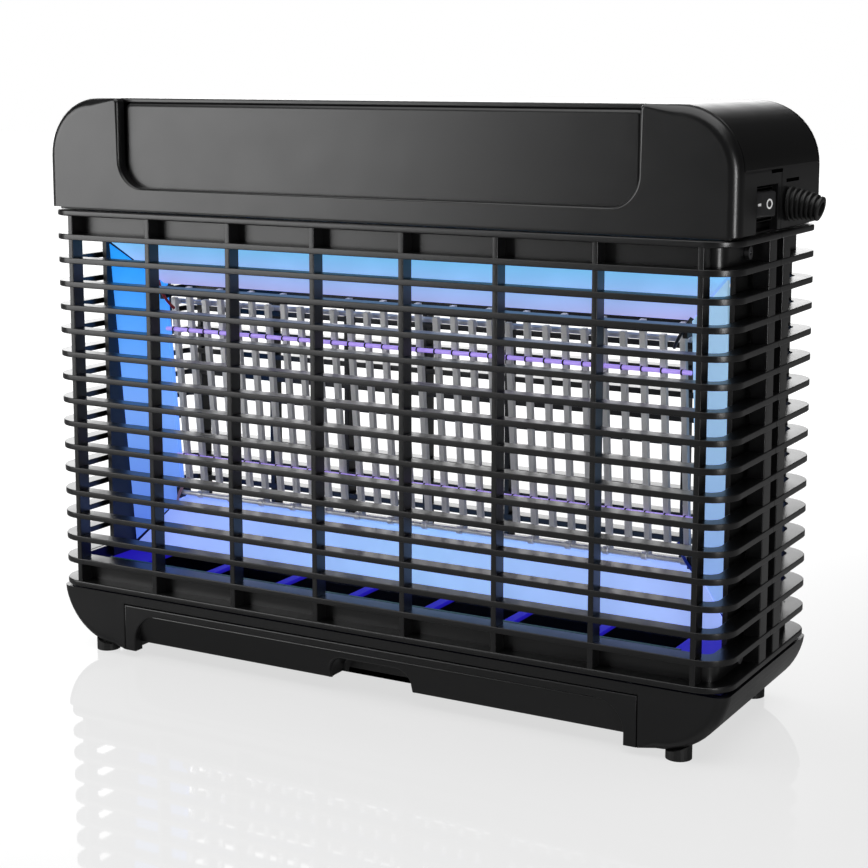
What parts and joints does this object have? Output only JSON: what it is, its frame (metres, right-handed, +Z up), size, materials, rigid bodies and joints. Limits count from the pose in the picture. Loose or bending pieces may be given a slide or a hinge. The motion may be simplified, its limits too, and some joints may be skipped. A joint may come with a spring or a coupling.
{
  "type": "electric bug zapper",
  "caption": "Upright electric insect killer with a caged lamp and bar grid, a rounded head with a side rocker switch, and a base with a pull-out collection tray.",
  "frame": {"origin": "bottom centre of the bounding box, at the level of the feet's undersides", "axes": "+X towards the side with the switch and the strain relief, -Y towards the front, +Z up"},
  "size_m": [0.3992, 0.12, 0.297],
  "materials": {
    "black_plastic": "satin black ABS with a fine moulded grain",
    "inner_plastic": "plain black plastic",
    "rocker_plastic": "smooth black plastic",
    "reflector": "smooth white reflector lit blue by the lamps",
    "insulator": "pale insulator lit violet",
    "rubber": "black moulded rubber",
    "steel": "plain steel",
    "grid_metal": "bright drawn metal",
    "circuit_board": "green board laminate",
    "copper_winding": "varnished winding tape",
    "capacitor_case": "brown dipped film capacitor"
  },
  "bodies": {
    "housing": {"front_grille": "black_plastic", "rear_grille": "black_plastic", "front_head_shell": "black_plastic", "rear_head_shell": "black_plastic", "head_lid": "black_plastic", "front_base_cover": "black_plastic", "rear_base_cover": "black_plastic", "base_pan": "black_plastic", "switch_body": "inner_plastic", "head_chassis": "inner_plastic", "terminal_block": "inner_plastic", "grid_top_rail": "inner_plastic", "left_end_plate": "inner_plastic", "right_end_plate": "inner_plastic", "drop_grate": "inner_plastic", "front_reflector_top": "reflector", "front_reflector_bottom": "reflector", "front_reflector_left": "reflector", "front_reflector_right": "reflector", "rear_reflector_top": "reflector", "rear_reflector_bottom": "reflector", "rear_reflector_left": "reflector", "rear_reflector_right": "reflector", "upper_left_insulator": "insulator", "upper_right_insulator": "insulator", "lower_left_insulator": "insulator", "lower_right_insulator": "insulator", "upper_spacer_rod": "insulator", "lower_spacer_rod": "insulator", "strain_relief_boot": "rubber", "front_left_foot": "rubber", "front_right_foot": "rubber", "rear_left_foot": "rubber", "rear_right_foot": "rubber", "step_up_transformer": "steel", "upper_left_screw": "steel", "upper_right_screw": "steel", "lower_left_screw": "steel", "lower_right_screw": "steel", "driver_board": "circuit_board", "upper_led_board": "circuit_board", "lower_led_board": "circuit_board", "transformer_winding": "copper_winding", "storage_capacitor": "capacitor_case", "grid_comb_live": "grid_metal", "grid_comb_return": "grid_metal"},
    "rocker": {"switch_rocker": "rocker_plastic"},
    "tray": {"collection_tray": "black_plastic"}
  },
  "joints": [
    {"name": "rocker_hinge", "type": "hinge", "parent": "housing", "child": "rocker", "pos_m": [0.17869, -0.021, 0.2525], "axis": [0, 0, 1], "range_deg": [0, 22]},
    {"name": "tray_slide", "type": "slide", "parent": "housing", "child": "tray", "axis": [0, -1, 0], "range_m": [0, 0.085]}
  ]
}
